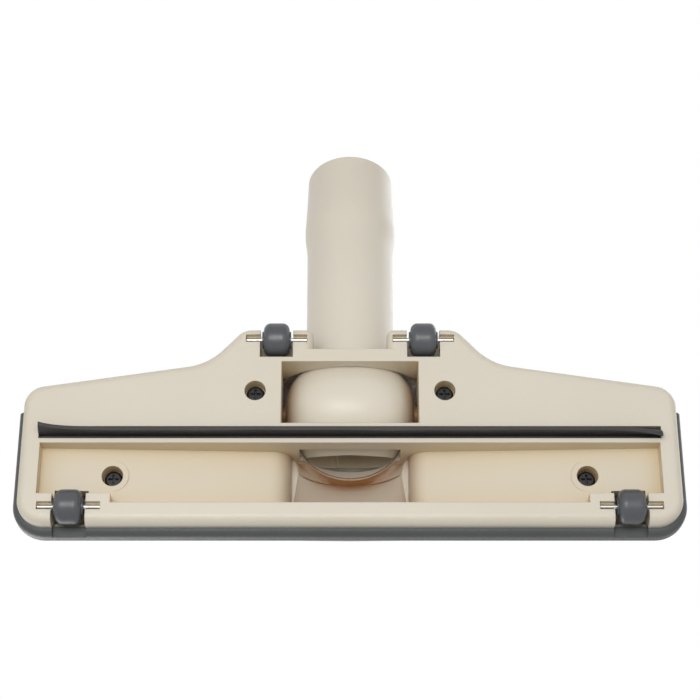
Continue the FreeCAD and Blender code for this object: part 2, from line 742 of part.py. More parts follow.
def make_duct_core():
    """The duct's inner form above the collar: an upright-sided passage under a sloping round vault."""
    core = new_body("duct_core")
    drawing = new_sketch(core, "duct_side_view", "YZ_Plane")
    along = ("cos(sizes.duct_tilt)", "sin(sizes.duct_tilt)")
    centre = ("-sizes.ring_ahead", f"({AXIS} - sizes.ring_below)")
    peak = (
        f"{centre[0]} - sizes.duct_radius * {along[1]}",
        f"{centre[1]} + sizes.duct_radius * {along[0]}",
    )
    front = f"-{CHANNEL_FRONT}"
    front_high = f"{peak[1]} + ({front} - ({peak[0]})) * {along[1]} / {along[0]}"
    back = "-sizes.channel_back"
    back_high = f"{centre[1]} - ({back} - ({centre[0]})) * {along[0]} / {along[1]}"
    corners = [(front, COLLAR_TOP), (back, COLLAR_TOP), (back, back_high), peak, (front, front_high)]
    draw_polygon(drawing, corners)
    pad(core, drawing, "2 * sizes.duct_side", symmetric=True)
    return core


def make_duct_vault():
    vault = new_body("duct_vault")
    drawing = new_sketch(vault, "vault_profile", "YZ_Plane")
    along = ("cos(sizes.duct_tilt)", "sin(sizes.duct_tilt)")
    centre = ("-sizes.ring_ahead", f"({AXIS} - sizes.ring_below)")
    reach = "(sizes.front_reach + sizes.duct_radius)"
    outer = (f"({centre[0]} - {reach} * {along[0]})", f"({centre[1]} - {reach} * {along[1]})")
    up = (f"- sizes.duct_radius * {along[1]}", f"+ sizes.duct_radius * {along[0]}")
    corners = [centre, outer, (outer[0] + up[0], outer[1] + up[1]), (centre[0] + up[0], centre[1] + up[1])]
    draw_polygon(drawing, corners)
    turn_round_line(vault, drawing, centre, outer, "Revolution")
    return vault


def join_upper(upper):
    """Cuts the duct out of the upper shell."""
    passage = document.addObject("Part::Common", "duct_passage")
    passage.Base = make_duct_core()
    passage.Tool = make_duct_vault()
    housing = document.addObject("Part::Cut", "upper_housing")
    housing.Base = upper
    housing.Tool = passage
    housing.Refine = True
    housing.Label = "upper_housing"
    document.recompute()
    place_body(housing)
    return housing


# Neck: crowned drum on two trunnions, the tube and its socket


def make_neck():
    neck = new_body("neck")
    drum = new_sketch(neck, "drum", "XY_Plane")
    drum_profile(drum, "sizes.drum_radius", "sizes.crown_radius", DRUM_SIDE)
    turn_profile(neck, drum, "H_Axis", "Revolution")
    side = number(DRUM_SIDE)

    def rim(middle, box):
        return box.XLength < PLACE_TOLERANCE and abs(abs(middle.x) - side) < PLACE_TOLERANCE

    round_edges(neck, rim, "sizes.drum_edge")
    trunnion = new_sketch(neck, "trunnion", "YZ_Plane")
    draw_circle(trunnion, "0", "0", "sizes.trunnion_radius")
    pad(neck, trunnion, f"2 * ({WELL_WALL} - sizes.trunnion_end_gap)", symmetric=True)
    tube = new_sketch(neck, "tube", "XY_Plane")
    bulge_start = "(sizes.bulge_place - sizes.bulge_half)"
    bulge_end = "(sizes.bulge_place + sizes.bulge_half)"
    corners = [
        ("0", "0"),
        ("0", "sizes.neck_length"),
        ("sizes.mouth_radius", "sizes.neck_length"),
        ("sizes.mouth_radius", bulge_end),
        ("sizes.tube_radius_far", bulge_start),
        ("sizes.tube_radius", "sizes.drum_radius"),
        ("sizes.tube_radius", "0"),
    ]
    rise = "(sizes.bulge_radius - (sizes.mouth_radius + sizes.tube_radius_far) / 2)"
    taper = "(sizes.mouth_radius - sizes.tube_radius_far)"
    chord = f"(4 * sizes.bulge_half * sizes.bulge_half + {taper} * {taper})"
    swell = f"(({chord} / 4 + {rise} * {rise}) / (2 * {rise}))"
    draw_polygon(tube, corners, {3: (swell, ("sizes.bulge_radius", "sizes.bulge_place"))})
    turn_profile(neck, tube, "V_Axis", "Revolution")
    blend_at = number("sizes.drum_radius")

    def root(middle, box):
        return 0 < box.YMin and box.YMax < blend_at and abs(middle.x) < side and box.YLength > 1

    round_edges(neck, root, "sizes.neck_blend")
    cut_neck_bore(neck)
    neck.Placement = FreeCAD.Placement(vector(), FreeCAD.Rotation(vector("1"), number("sizes.neck_tilt")))
    neck.setExpression("Placement.Rotation.Angle", "sizes.neck_tilt")
    place_body(neck, z=AXIS)
    return neck


def cut_neck_bore(neck):
    """Socket for the wand, the bore behind it and the turn to the drum's mouth."""
    bore = new_sketch(neck, "bore", "XY_Plane")
    corners = [
        ("0", "sizes.elbow_back"),
        ("sizes.bore_radius", "sizes.elbow_back"),
        ("sizes.bore_radius", "sizes.neck_length - sizes.socket_depth"),
        ("sizes.socket_radius", "sizes.neck_length - sizes.socket_depth"),
        ("sizes.socket_radius", "sizes.neck_length + 1"),
        ("0", "sizes.neck_length + 1"),
    ]
    draw_polygon(bore, corners)
    turn_profile(neck, bore, "V_Axis", "Groove")
    round_end = new_sketch(neck, "elbow_start", "XZ_Plane", "-sizes.elbow_back")
    draw_circle(round_end, "0", "0", "sizes.bore_radius")
    mouth = new_sketch(neck, "elbow_mouth", "XZ_Plane", "sizes.mouth_plane")
    middle = vector("0", "sizes.mouth_lift")
    tall, wide = number("sizes.mouth_half_height"), number("sizes.mouth_half_width")
    shape = Part.Ellipse(middle + vector(f"{wide}"), middle + vector("0", f"{tall}"), middle)
    mouth.addGeometry(shape, False)
    mouth.exposeInternalGeometry(0)
    tie_point(mouth, 0, 3, "0", "sizes.mouth_lift")
    tie_axis(mouth, 1, "2 * sizes.mouth_half_width", "DistanceX")
    tie_axis(mouth, 2, "2 * sizes.mouth_half_height", "DistanceY")
    before = neck.Shape.Volume
    elbow = neck.newObject("PartDesign::SubtractiveLoft", "elbow")
    elbow.Profile = round_end
    elbow.Sections = [mouth]
    finish_feature(neck, elbow, before, grows=False)


def tie_axis(drawing, edge, length, kind):
    """Sets the length of one of an ellipse's two axes."""
    line = drawing.Geometry[edge]
    along = line.EndPoint - line.StartPoint
    forward = (along.x if kind == "DistanceX" else along.y) > 0
    places = (edge, 1, edge, 2) if forward else (edge, 2, edge, 1)
    tie(drawing, kind, places, length)


# Rubber blade


def make_blade():
    blade = new_body("squeegee_blade")
    fin = new_sketch(blade, "fin", "XY_Plane", "sizes.ground_gap - sizes.blade_proud")
    low = "-(sizes.blade_ahead + sizes.blade_thick / 2)"
    high = "-(sizes.blade_ahead - sizes.blade_thick / 2)"
    draw_polygon(fin, rectangle(f"-{BLADE_SIDE}", BLADE_SIDE, low, high))
    pad(blade, fin, "sizes.blade_proud + sizes.slot_depth")
    foot = new_sketch(blade, "foot", "XY_Plane", "sizes.ground_gap + sizes.slot_depth - sizes.blade_foot")
    low = "-(sizes.blade_ahead + sizes.slot_width / 2)"
    high = "-(sizes.blade_ahead - sizes.slot_width / 2)"
    draw_polygon(foot, rectangle(f"-{BLADE_SIDE}", BLADE_SIDE, low, high))
    pad(blade, foot, "sizes.blade_foot")
    place_body(blade)
    return blade


# Bumper


def make_bumper():
    bumper = new_body("bumper")
    drawing = new_sketch(bumper, "band", "XY_Plane", RIM)
    side = "(sizes.half_span + sizes.bumper_side_proud)"
    front = "(sizes.front_reach + sizes.bumper_front_proud)"
    back = "-sizes.bumper_back"
    corners = [
        (f"-{SEAT_SIDE}", back),
        (f"-{side}", back),
        (f"-{side}", f"-{front}"),
        (side, f"-{front}"),
        (side, back),
        (SEAT_SIDE, back),
        (SEAT_SIDE, f"-{SEAT_FRONT}"),
        (f"-{SEAT_SIDE}", f"-{SEAT_FRONT}"),
    ]
    draw_polygon(drawing, corners)
    pad(bumper, drawing, "sizes.bumper_tall")
    outer_corner = "sizes.front_corner + sizes.bumper_side_proud"
    round_edges(bumper, upright_at(side, f"-{front}"), outer_corner)
    seat_corner = "sizes.front_corner - sizes.bumper_seat"
    round_edges(bumper, upright_at(SEAT_SIDE, f"-{SEAT_FRONT}"), seat_corner)
    out_side, out_front = number(side), number(front)
    corner = number(outer_corner)

    def outer_edge(middle, box):
        level = box.ZLength < PLACE_TOLERANCE and (box.XLength > 1 or box.YLength > 1)
        beside = abs(middle.x) > out_side - PLACE_TOLERANCE
        ahead = middle.y < -out_front + PLACE_TOLERANCE
        turning = math.hypot(abs(middle.x) - out_side + corner, middle.y + out_front - corner)
        at_corner = abs(turning - corner) < PLACE_TOLERANCE and middle.y < -out_front + corner
        return level and (beside or ahead or at_corner)

    round_edges(bumper, outer_edge, "sizes.bumper_round")
    notch = new_sketch(bumper, "notch", "XY_Plane", RIM)
    left = f"({FRONT_WHEEL_SIDE} - {POCKET_WIDTH} / 2)"
    right = f"({FRONT_WHEEL_SIDE} + {POCKET_WIDTH} / 2)"
    draw_polygon_pair(notch, rectangle(left, right, f"-({front} + 1)", f"-({CHANNEL_FRONT} + 1)"))
    pocket(bumper, notch, "sizes.bumper_notch", reverse=True)
    place_body(bumper)
    return bumper


# Wheels, pins and screws


def make_wheel(name, x, y):
    """A barrel wheel with rounded tread edges and a hub boss on each side, on the X axis."""
    wheel = new_body(name)
    hub = new_sketch(wheel, f"{name}_hub", "YZ_Plane")
    draw_circle(hub, "0", "0", "sizes.hub_radius")
    pad(wheel, hub, "sizes.hub_width", symmetric=True)
    tread = new_sketch(wheel, f"{name}_tread", "YZ_Plane")
    draw_circle(tread, "0", "0", "sizes.wheel_radius")
    pad(wheel, tread, "sizes.wheel_tread", symmetric=True)
    side = number("sizes.wheel_tread / 2")
    radius = number("sizes.wheel_radius")

    def tread_rim(middle, box):
        at_side = box.XLength < PLACE_TOLERANCE and abs(abs(middle.x) - side) < PLACE_TOLERANCE
        return at_side and abs(box.YLength - 2 * radius) < PLACE_TOLERANCE

    round_edges(wheel, tread_rim, "sizes.wheel_round")
    bore = new_sketch(wheel, f"{name}_bore", "YZ_Plane")
    draw_circle(bore, "0", "0", "sizes.pin_radius + sizes.wheel_gap")
    pocket(wheel, bore, "sizes.hub_width + 1", symmetric=True)
    place_body(wheel, x=x, y=f"sizes.axis_place + {y}", z="sizes.wheel_radius")
    return wheel


def make_pin(name, x, y):
    pin = document.addObject("Part::Cylinder", name)
    pin.Label = name
    pin.setExpression("Radius", "sizes.pin_radius")
    pin.setExpression("Height", "sizes.pin_length")
    pin.Placement = FreeCAD.Placement(vector(), FreeCAD.Rotation(vector("0", "1"), 90))
    place_body(pin, x=f"{x} - sizes.pin_length / 2", y=f"sizes.axis_place + {y}", z="sizes.wheel_radius")
    return pin


def make_screw(name, x, y, face):
    """A pan-head screw with a cross recess; its head's outer face looks down."""
    screw = new_body(name)
    head = new_sketch(screw, f"{name}_head", "XY_Plane")
    draw_circle(head, "0", "0", "sizes.head_radius")
    pad(screw, head, "sizes.head_tall")
    radius = number("sizes.head_radius")

    def rim(middle, box):
        return box.ZMax < PLACE_TOLERANCE and abs(box.XLength - 2 * radius) < PLACE_TOLERANCE

    round_edges(screw, rim, "sizes.head_tall / 2")
    shank = new_sketch(screw, f"{name}_shank", "XY_Plane", "sizes.head_tall")
    draw_circle(shank, "0", "0", "sizes.shank_radius")
    pad(screw, shank, "sizes.shank_length")
    bars = [("sizes.cross_length", "sizes.cross_width"), ("sizes.cross_width", "sizes.cross_length")]
    for bar, (wide, deep) in enumerate(bars):
        cross = new_sketch(screw, f"{name}_cross_{bar}", "XY_Plane")
        draw_polygon(cross, rectangle(f"-{wide} / 2", f"{wide} / 2", f"-{deep} / 2", f"{deep} / 2"))
        pocket(screw, cross, "sizes.cross_depth", reverse=True)
    place_body(screw, x=x, y=f"sizes.axis_place + {y}", z=f"{face} + sizes.recess_depth")
    return screw


def sides(expression):
    return [("left", f"-{expression}"), ("right", expression)]


parts = [make_lower_housing(), join_upper(make_upper_housing()), make_neck(), make_blade(), make_bumper()]
for end, side, place in WHEEL_AXES:
    for hand, x in sides(side):
        parts.append(make_wheel(f"wheel_{end}_{hand}", x, place))
        parts.append(make_pin(f"axle_{end}_{hand}", x, place))
for end, side, place, face in SCREWS:
    for hand, x in sides(side):
        parts.append(make_screw(f"screw_{end}_{hand}", x, place, face))
document.recompute()

for item in document.Objects:
    if failed(item):
        raise RuntimeError(f"{item.Label} failed: {item.State}")
os.makedirs("parts", exist_ok=True)
for part in parts:
    if part.Shape.isNull() or not part.Shape.isValid():
        raise RuntimeError(f"{part.Label} has no valid shape")
    part.Shape.exportStep(f"parts/{part.Label}.step")
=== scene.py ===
import math

import bmesh
import bpy
from mathutils import Matrix, Vector


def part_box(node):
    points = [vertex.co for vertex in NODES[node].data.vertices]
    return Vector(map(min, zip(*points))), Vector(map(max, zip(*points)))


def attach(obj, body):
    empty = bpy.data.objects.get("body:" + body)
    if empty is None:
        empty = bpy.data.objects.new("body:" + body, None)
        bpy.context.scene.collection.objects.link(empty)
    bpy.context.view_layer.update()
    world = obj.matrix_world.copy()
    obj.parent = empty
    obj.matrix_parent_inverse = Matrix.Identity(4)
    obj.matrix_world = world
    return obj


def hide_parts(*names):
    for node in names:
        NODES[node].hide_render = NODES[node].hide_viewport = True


# Look of the floor nozzle: materials, the duct's smooth ceiling, the neck with its ball-like drum ends,
# the rubber blade with its bent ends, floor, lamps and camera.
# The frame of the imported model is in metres. The three pieces made here have their sizes in millimetres.

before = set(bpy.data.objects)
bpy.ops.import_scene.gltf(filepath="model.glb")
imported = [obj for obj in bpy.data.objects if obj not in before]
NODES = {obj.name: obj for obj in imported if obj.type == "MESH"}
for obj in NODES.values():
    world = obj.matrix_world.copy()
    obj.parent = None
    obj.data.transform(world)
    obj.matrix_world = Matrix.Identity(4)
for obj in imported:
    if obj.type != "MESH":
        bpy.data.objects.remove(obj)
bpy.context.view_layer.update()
MM = 0.001


def linear(red, green, blue):
    """A colour given as 0 to 255 display values, as the shader's linear values."""
    values = []
    for value in (red, green, blue):
        part = value / 255
        values.append(part / 12.92 if part <= 0.04045 else ((part + 0.055) / 1.055) ** 2.4)
    return (*values, 1.0)


# Materials: lengths in metres, and a relief as its depth and its strength

LOOK_SAMPLES = 2
NOISE_LOW, NOISE_HIGH = 0.3, 0.7
# Painted shade: the colours that stand in for shade in hollows, in the duct's ceiling and at the drum's
# ends, and the ranges that place them.
HOLLOW_REACH = 0.030
HOLLOW, NARROW, FACING_DOWN = (0.30, 0.80), (0.55, 1.0), (0.25, -0.2)
WARM_HOLLOW_SHADE, DEEP_HOLLOW_SHADE, DRUM_END_SHADE = linear(210, 188, 146), linear(138, 88, 36), linear(150, 106, 58)
DRUM_END_START, DRUM_END_FULL = 0.0205, 0.0305
INSIDE_LOW, INSIDE_HIGH = 0.014, 0.024
PATCH_GRAIN, WORN_GRAIN, RIPPLE_GRAIN, FINE_GRAIN = 9.0, 240.0, 60.0, 2600.0
RIPPLE_RELIEF, FINE_RELIEF, DRAWN_RELIEF = (0.0004, 0.10), (0.00003, 0.35), (0.00002, 0.3)
DARK_DEPTH = 0.00005
CREAM_WEAR, DARK_WEAR = 0.05, 0.06
MOULDED_EDGE = 0.0004
DARK_PATCHES, DRAWN_GRAIN = 35.0, 700.0
SCATTER = {
    "Subsurface Weight": 0.12,
    "Subsurface Radius": (1.0, 0.55, 0.25),
    "Subsurface Scale": 0.004,
    "IOR": 1.46,
}


class Graph:
    """A short way to write a material's nodes."""

    def __init__(self, name):
        self.material = bpy.data.materials.new(name)
        self.material.use_nodes = True
        self.tree = self.material.node_tree
        self.tree.nodes.clear()
        self.output = self.node("ShaderNodeOutputMaterial")
        self.shader = self.node("ShaderNodeBsdfPrincipled")
        self.join(self.shader.outputs["BSDF"], self.output.inputs["Surface"])
        self.place = self.node("ShaderNodeTexCoord").outputs["Object"]

    def node(self, kind, **settings):
        made = self.tree.nodes.new(kind)
        for name, value in settings.items():
            setattr(made, name, value)
        return made

    def join(self, start, end):
        self.tree.links.new(start, end)

    def paint(self, socket, value):
        """Joins a value to a socket of the shader."""
        self.join(value, self.shader.inputs[socket])

    def noise(self, scale, detail=3.0, roughness=0.5, stretch=(1, 1, 1)):
        mapping = self.node("ShaderNodeMapping")
        mapping.inputs["Scale"].default_value = stretch
        self.join(self.place, mapping.inputs["Vector"])
        made = self.node("ShaderNodeTexNoise")
        made.inputs["Scale"].default_value = scale
        made.inputs["Detail"].default_value = detail
        made.inputs["Roughness"].default_value = roughness
        self.join(mapping.outputs["Vector"], made.inputs["Vector"])
        return made.outputs["Fac"]

    def spread(self, value, low, high):
        """Maps a noise value to a range."""
        made = self.node("ShaderNodeMapRange")
        made.inputs["From Min"].default_value = NOISE_LOW
        made.inputs["From Max"].default_value = NOISE_HIGH
        made.inputs["To Min"].default_value = low
        made.inputs["To Max"].default_value = high
        self.join(value, made.inputs["Value"])
        return made.outputs["Result"]

    def openness(self, distance):
        """How little of its own piece hides a point."""
        hidden = self.node("ShaderNodeAmbientOcclusion", samples=LOOK_SAMPLES, only_local=True)
        hidden.inputs["Distance"].default_value = distance
        return hidden.outputs["AO"]

    def ramp(self, value, low, high):
        """0 at low and 1 at high, with a soft passage between them."""
        made = self.node("ShaderNodeMapRange", interpolation_type="SMOOTHSTEP")
        made.inputs["From Min"].default_value = low
        made.inputs["From Max"].default_value = high
        self.join(value, made.inputs["Value"])
        return made.outputs["Result"]

    def blend(self, factor, first, second):
        """Mixes two colours, each a fixed one or another node's output."""
        made = self.node("ShaderNodeMix", data_type="RGBA")
        for socket, value in (("A", first), ("B", second)):
            target = next(s for s in made.inputs if s.name == socket and s.type == "RGBA")
            if isinstance(value, tuple):
                target.default_value = value
            else:
                self.join(value, target)
        self.join(factor, made.inputs["Factor"])
        return next(s for s in made.outputs if s.type == "RGBA")

    def math(self, operation, first, second=None, **settings):
        made = self.node("ShaderNodeMath", operation=operation, **settings)
        self.join(first, made.inputs[0])
        if second:
            self.join(second, made.inputs[1])
        return made.outputs["Value"]

    def axes(self, vector):
        """The three parts of a vector."""
        made = self.node("ShaderNodeSeparateXYZ")
        self.join(vector, made.inputs["Vector"])
        return made.outputs

    def bump(self, heights, edge=0.0):
        """Fine relief, with corners that catch the light where an edge radius is given."""
        normal = None
        if edge:
            bevel = self.node("ShaderNodeBevel", samples=LOOK_SAMPLES)
            bevel.inputs["Radius"].default_value = edge
            normal = bevel.outputs["Normal"]
        for height, distance, strength in heights:
            made = self.node("ShaderNodeBump")
            made.inputs["Distance"].default_value = distance
            made.inputs["Strength"].default_value = strength
            self.join(height, made.inputs["Height"])
            if normal:
                self.join(normal, made.inputs["Normal"])
            normal = made.outputs["Normal"]
        self.paint("Normal", normal)


def cream_plastic(name, tint, shade, roughness, shade_drum_ends=False):
    """Satin plastic with painted shade in its hollows, standing in for light that scatters between their
    walls: hollows a darker, yellower cream, and narrow downward-facing hollows high up brown, or on the
    neck the drum's ends brown instead.
    """
    graph = Graph(name)
    plain = graph.blend(graph.spread(graph.noise(PATCH_GRAIN, 2.0), 0.0, 1.0), tint, shade)
    # Painted shade: hollows of the piece, found by its occlusion, turn a darker, yellower cream.
    openness = graph.openness(HOLLOW_REACH)
    hollow_shade = graph.blend(graph.ramp(openness, *HOLLOW), WARM_HOLLOW_SHADE, plain)
    place = graph.axes(graph.place)
    # Painted shade on the neck: the drum's ends turn brown towards both ends.
    if shade_drum_ends:
        side = graph.math("ABSOLUTE", place["X"])
        colour = graph.blend(graph.ramp(side, DRUM_END_START, DRUM_END_FULL), hollow_shade, DRUM_END_SHADE)
    else:
        # Painted shade: narrow hollows high up that face down, such as the duct's ceiling, turn brown.
        deep_shade = graph.blend(graph.ramp(openness, *NARROW), DEEP_HOLLOW_SHADE, hollow_shade)
        facing = graph.axes(graph.node("ShaderNodeNewGeometry").outputs["True Normal"])
        high_up = graph.ramp(place["Z"], INSIDE_LOW, INSIDE_HIGH)
        facing_down = graph.ramp(facing["Z"], *FACING_DOWN)
        colour = graph.blend(graph.math("MULTIPLY", high_up, facing_down), hollow_shade, deep_shade)
    graph.paint("Base Color", colour)
    fine = graph.noise(FINE_GRAIN, 2.0)
    ripple = graph.noise(RIPPLE_GRAIN, 2.0)
    worn = graph.noise(WORN_GRAIN, 4.0, 0.6)
    graph.paint("Roughness", graph.spread(worn, roughness - CREAM_WEAR, roughness + CREAM_WEAR))
    graph.bump([(ripple, *RIPPLE_RELIEF), (fine, *FINE_RELIEF)], MOULDED_EDGE)
    for socket, value in SCATTER.items():
        graph.shader.inputs[socket].default_value = value
    return graph.material


def dark_material(name, tint, shade, roughness, grain, relief, edge):
    """Dark plastic, rubber or blackened steel with a fine even grain."""
    graph = Graph(name)
    patches = graph.spread(graph.noise(DARK_PATCHES), 0.0, 1.0)
    graph.paint("Base Color", graph.blend(patches, tint, shade))
    fine = graph.noise(grain)
    graph.paint("Roughness", graph.spread(fine, roughness - DARK_WEAR, roughness + DARK_WEAR))
    graph.bump([(fine, DARK_DEPTH, relief)], edge)
    return graph.material


def steel_pin():
    """Bright steel, drawn along the pin."""
    graph = Graph("bright steel")
    drawn = graph.noise(DRAWN_GRAIN, stretch=(0.05, 1, 1))
    tint, shade = linear(206, 206, 204), linear(182, 182, 182)
    graph.paint("Base Color", graph.blend(graph.spread(drawn, 0.0, 1.0), tint, shade))
    graph.paint("Roughness", graph.spread(drawn, 0.18, 0.34))
    graph.bump([(drawn, *DRAWN_RELIEF)])
    graph.shader.inputs["Metallic"].default_value = 1.0
    return graph.material


def dress(node, material):
    """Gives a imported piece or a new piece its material."""
    slots = node.material_slots
    if not slots:
        node.data.materials.append(material)
    for slot in slots:
        slot.material = material


housing_plastic = cream_plastic(
    "cream housing", linear(214, 207, 192), linear(209, 201, 185), roughness=0.42
)
# The neck's material paints shade onto the drum's ends.
neck_plastic = cream_plastic(
    "cream neck", linear(219, 212, 198), linear(214, 206, 191), roughness=0.36, shade_drum_ends=True
)
bumper_vinyl = dark_material(
    "dark bumper", linear(70, 72, 72), linear(64, 66, 66),
    roughness=0.5, grain=900.0, relief=0.3, edge=0.0005,
)
wheel_nylon = dark_material(
    "grey wheel", linear(76, 79, 83), linear(70, 73, 77),
    roughness=0.33, grain=500.0, relief=0.2, edge=0.0004,
)
blade_rubber = dark_material(
    "black rubber", linear(40, 38, 38), linear(32, 30, 30),
    roughness=0.55, grain=1400.0, relief=0.4, edge=0.0002,
)
screw_steel = dark_material(
    "dark screw", linear(24, 24, 24), linear(17, 17, 17),
    roughness=0.34, grain=1200.0, relief=0.3, edge=0.0002,
)
screw_steel.node_tree.nodes["Principled BSDF"].inputs["Metallic"].default_value = 0.25
pin_steel = steel_pin()

MATERIAL_OF = {
    "lower": housing_plastic,
    "upper": housing_plastic,
    "neck": neck_plastic,
    "bumper": bumper_vinyl,
    "squeegee": blade_rubber,
    "wheel": wheel_nylon,
    "axle": pin_steel,
    "screw": screw_steel,
}
for name, node in NODES.items():
    dress(node, MATERIAL_OF[name.split("_")[0]])

# Forms that the three pieces share

AXIS_PLACE, AXIS_HEIGHT = -39.28, 30.5
ROUND_STEPS = 96
WELD = 0.001
HOUSING_SHARP, BLADE_SHARP = 25, 40


def shade_smooth(mesh, angle):
    for polygon in mesh.polygons:
        polygon.use_smooth = True
    mesh.set_sharp_from_angle(angle=math.radians(angle))


def full_turn(steps):
    """The directions of the points of a circle."""
    return [2 * math.pi * step / steps for step in range(steps)]


def as_object(mesh, name):
    """Ends the making of a mesh and puts it into the scene."""
    data = bpy.data.meshes.new(name)
    mesh.to_mesh(data)
    mesh.free()
    made = bpy.data.objects.new(name, data)
    bpy.context.scene.collection.objects.link(made)
    return made


def wall(mesh, first, last):
    """The faces between two closed rows with the same number of points."""
    faces = []
    for turn in range(len(first)):
        following = (turn + 1) % len(first)
        corners = (first[turn], first[following], last[following], last[turn])
        faces.append(mesh.faces.new(corners))
    return faces


def loft(name, first, last):
    """A closed solid between two outlines with the same number of points."""
    mesh = bmesh.new()
    starts = [mesh.verts.new(point) for point in first]
    ends = [mesh.verts.new(point) for point in last]
    wall(mesh, starts, ends)
    mesh.faces.new(starts[::-1])
    mesh.faces.new(ends)
    bmesh.ops.recalc_face_normals(mesh, faces=mesh.faces)
    return as_object(mesh, name)


def cut_out(piece, cutters):
    """Cuts the cutters out of a piece and shades the result by the size of its faces."""
    for cutter in cutters:
        cut = piece.modifiers.new(cutter.name, "BOOLEAN")
        cut.operation = "DIFFERENCE"
        cut.solver = "EXACT"
        cut.object = cutter
    piece.modifiers.new("shading", "WEIGHTED_NORMAL").keep_sharp = True
    shade_smooth(piece.data, HOUSING_SHARP)
    graph = bpy.context.evaluated_depsgraph_get()
    finished = bpy.data.meshes.new_from_object(piece.evaluated_get(graph))
    piece.modifiers.clear()
    piece.data = finished
    piece.data.materials.clear()
    for cutter in cutters:
        bpy.data.objects.remove(cutter)


# Top cover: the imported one, with the duct opened out to the full width of the channel

DUCT_TILT = math.radians(31)
DUCT_FRONT, DUCT_BACK, DUCT_FLOOR = -49.0, -28.6, 25.9
RING_AHEAD, RING_BELOW, RING_RADIUS = 15.8, 12.0, 22.4
RING_START, RING_END = -13.0, 1.2
ARCH_STEPS = 24


def arch(place, half_width, spring, crown):
    """An opening with upright sides under a round arch, as points in one upright plane."""
    rise = crown - spring
    radius = (half_width**2 + rise**2) / (2 * rise)
    reach = math.asin(half_width / radius)
    points = [(-half_width, DUCT_FLOOR)]
    for step in range(ARCH_STEPS + 1):
        angle = -reach + 2 * reach * step / ARCH_STEPS
        points.append((radius * math.sin(angle), crown - radius + radius * math.cos(angle)))
    points.append((half_width, DUCT_FLOOR))
    return [Vector((x, place + AXIS_PLACE, z)) * MM for x, z in points]


def ring(along):
    """A circle round the duct's sloping axis."""
    slope = Vector((0, math.cos(DUCT_TILT), math.sin(DUCT_TILT)))
    lift = Vector((0, -math.sin(DUCT_TILT), math.cos(DUCT_TILT)))
    across = Vector((1, 0, 0))
    centre = Vector((0, AXIS_PLACE - RING_AHEAD, AXIS_HEIGHT - RING_BELOW)) + slope * along
    points = []
    for turn in full_turn(ROUND_STEPS):
        point = centre + across * RING_RADIUS * math.cos(turn) + lift * RING_RADIUS * math.sin(turn)
        points.append(point * MM)
    return points


def make_top_cover():
    mesh = bmesh.new()
    mesh.from_mesh(NODES["upper_housing"].data)
    bmesh.ops.remove_doubles(mesh, verts=mesh.verts, dist=WELD * MM)
    cover = as_object(mesh, "top_cover")
    front = arch(DUCT_FRONT, half_width=24.8, spring=26.6, crown=28.9)
    back = arch(DUCT_BACK, half_width=22.0, spring=26.3, crown=41.3)
    cutters = [loft("duct_front", front, back), loft("duct_ring", ring(RING_START), ring(RING_END))]
    cut_out(cover, cutters)
    dress(cover, housing_plastic)
    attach(cover, "nozzle")
    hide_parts("upper_housing")


make_top_cover()

# Neck: a drum with ball-like ends that flows into the tube, and the tube's soft swelling

NECK_TILT = math.radians(14)
DRUM_RADIUS, DRUM_SIDE, DRUM_POWER = 24.0, 28.0, 2.6
NECK_BLEND = 1.2
NECK_END, RIM = 139.1, 1.0
TUBE_OUTLINE = [(0, 19.55), (53, 19.55), (94, 19.88), (104, 21.15), (126, 20.25), (150, 19.7)]
SOFT_STEPS, SOFT_SPACING = 8, 0.5
TRUNNION_RADIUS, TRUNNION_START, TRUNNION_END = 4.0, 22.0, 31.3
SOCKET_RADIUS, SOCKET_LENGTH, BORE_RADIUS = 17.7, 35, 16.5
ELBOW_START, ELBOW_END = 10, -30
ELBOW_ACROSS, ELBOW_TALL, ELBOW_LIFT = 20.6, 11.4, 9.9
OVERLAP, PAST_END = 0.1, 2
NECK_TURNS, DRUM_ROWS, RIM_ROWS = 128, 36, 6
COARSE_START, COARSE_STEP = 34, 1.5
SEARCH_REACH, SEARCH_HALVINGS = 32.0, 22


def neck_point(x, along, lift):
    """A point given across the neck, along its tube and square to both, all from the swivel axis."""
    y = AXIS_PLACE + along * math.cos(NECK_TILT) - lift * math.sin(NECK_TILT)
    z = AXIS_HEIGHT + along * math.sin(NECK_TILT) + lift * math.cos(NECK_TILT)
    return Vector((x, y, z)) * MM


def straight_outline(along):
    for (start, low), (end, high) in zip(TUBE_OUTLINE, TUBE_OUTLINE[1:]):
        if along <= end:
            return low + (high - low) * max(0.0, along - start) / (end - start)
    return TUBE_OUTLINE[-1][1]


def tube_radius(along):
    """The outline with its corners averaged out, and the rounded rim."""
    near = [along + SOFT_SPACING * turn for turn in range(-SOFT_STEPS, SOFT_STEPS + 1)]
    mean = sum(straight_outline(place) for place in near) / len(near)
    past = max(0.0, along - (NECK_END - RIM))
    return mean - (RIM - math.sqrt(max(0.0, RIM * RIM - past * past)))


def outside_neck(x, along, lift, radius):
    """Below zero inside the drum or the tube, with a soft blend where they meet."""
    share = min(1.0, abs(x) / DRUM_SIDE)
    crown = DRUM_RADIUS * (1 - share**DRUM_POWER) ** (1 / DRUM_POWER)
    drum = math.hypot(along, lift) - crown + max(0.0, abs(x) - DRUM_SIDE)
    if along < 0:
        return drum
    tube = math.hypot(x, lift) - radius
    near = max(0.0, NECK_BLEND - abs(drum - tube)) / NECK_BLEND
    return min(drum, tube) - near * near * NECK_BLEND / 4


def neck_reach(turn, along, radius):
    """How far the surface lies from the tube's axis in one direction, found by halving."""
    low, high = 0.0, SEARCH_REACH
    for _ in range(SEARCH_HALVINGS):
        middle = (low + high) / 2
        if outside_neck(middle * math.cos(turn), along, middle * math.sin(turn), radius) < 0:
            low = middle
        else:
            high = middle
    return low


